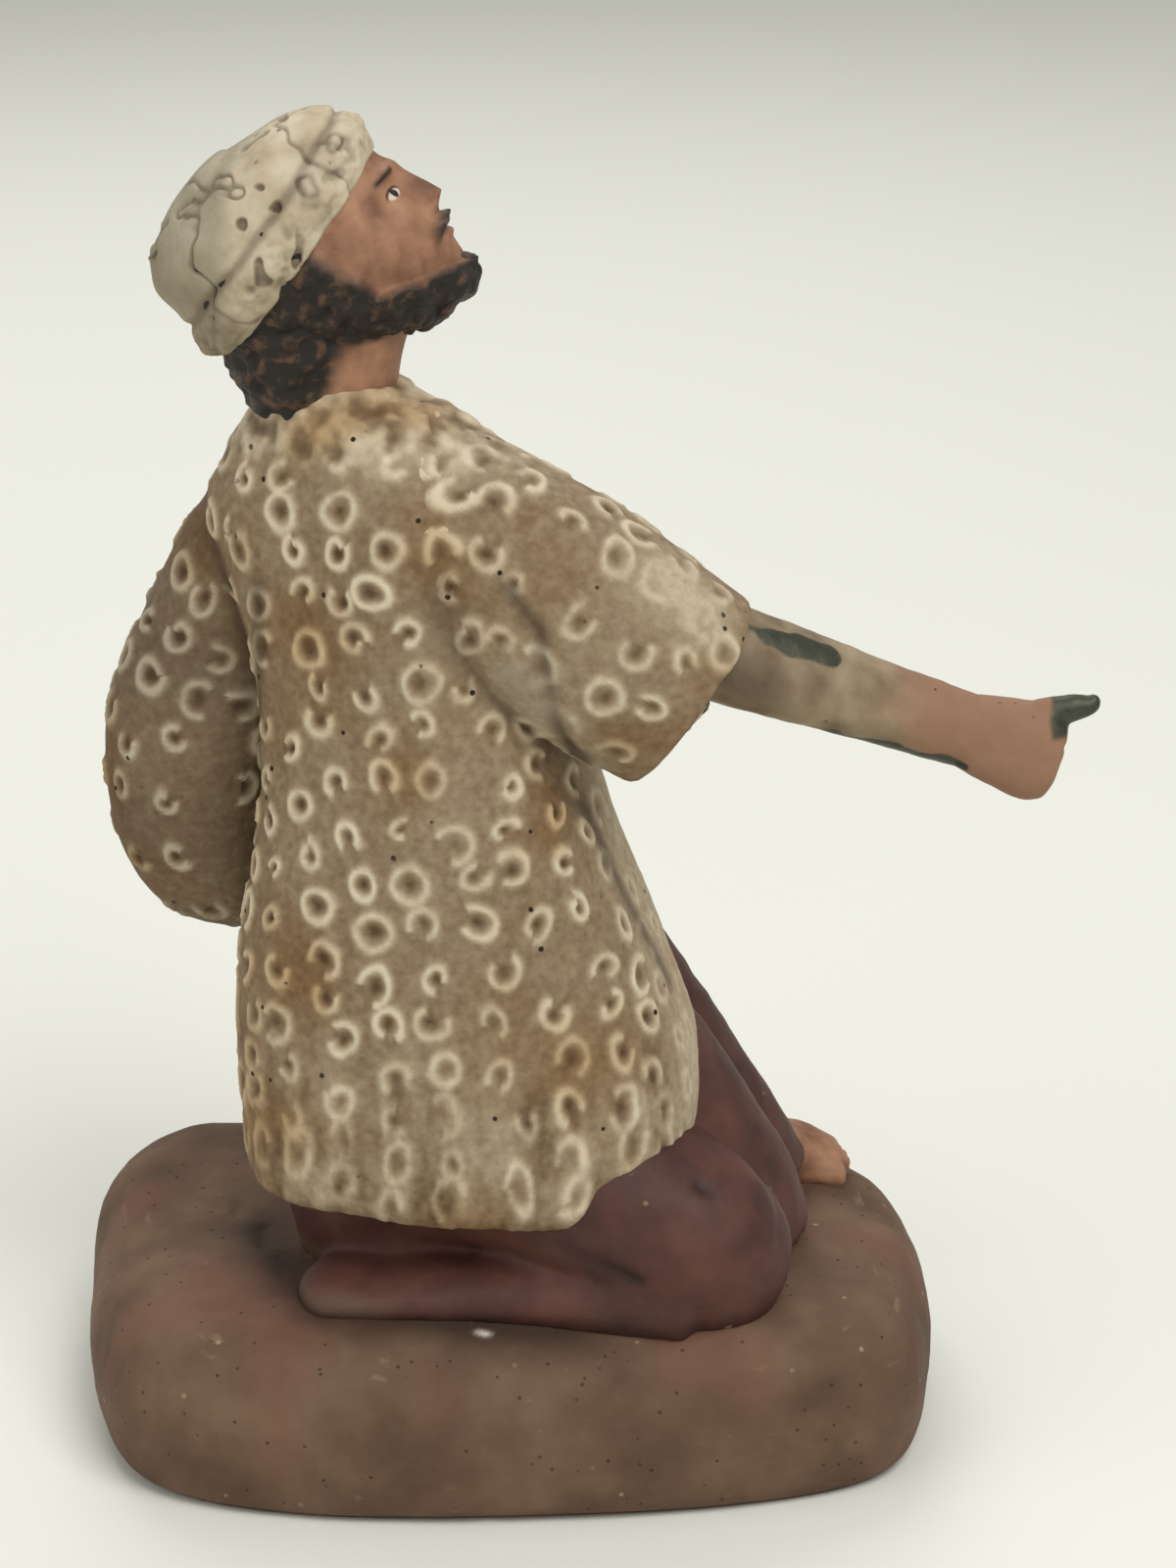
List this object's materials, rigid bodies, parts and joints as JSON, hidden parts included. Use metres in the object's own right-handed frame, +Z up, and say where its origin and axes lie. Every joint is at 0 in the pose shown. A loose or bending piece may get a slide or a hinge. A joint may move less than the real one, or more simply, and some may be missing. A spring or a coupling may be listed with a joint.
{
  "type": "nativity shepherd figure",
  "caption": "Kneeling shepherd in fleece coat and cap on a slab of ground, leaning back, face up, right arm pointing: a painted clay crib figure that stands on its flat underside.",
  "frame": {"origin": "the middle of the base's flat underside", "axes": "+Z up through the head, +X the way that the figure faces and points, -Y the side of its right arm"},
  "size_m": [0.0668, 0.0369, 0.0873],
  "materials": {
    "ground_clay": "matte",
    "painted_clay": "matte",
    "cast_metal": "matte"
  },
  "bodies": {
    "root": {"base": "ground_clay", "shepherd": "painted_clay", "pointing_forearm": "cast_metal"}
  },
  "joints": []
}
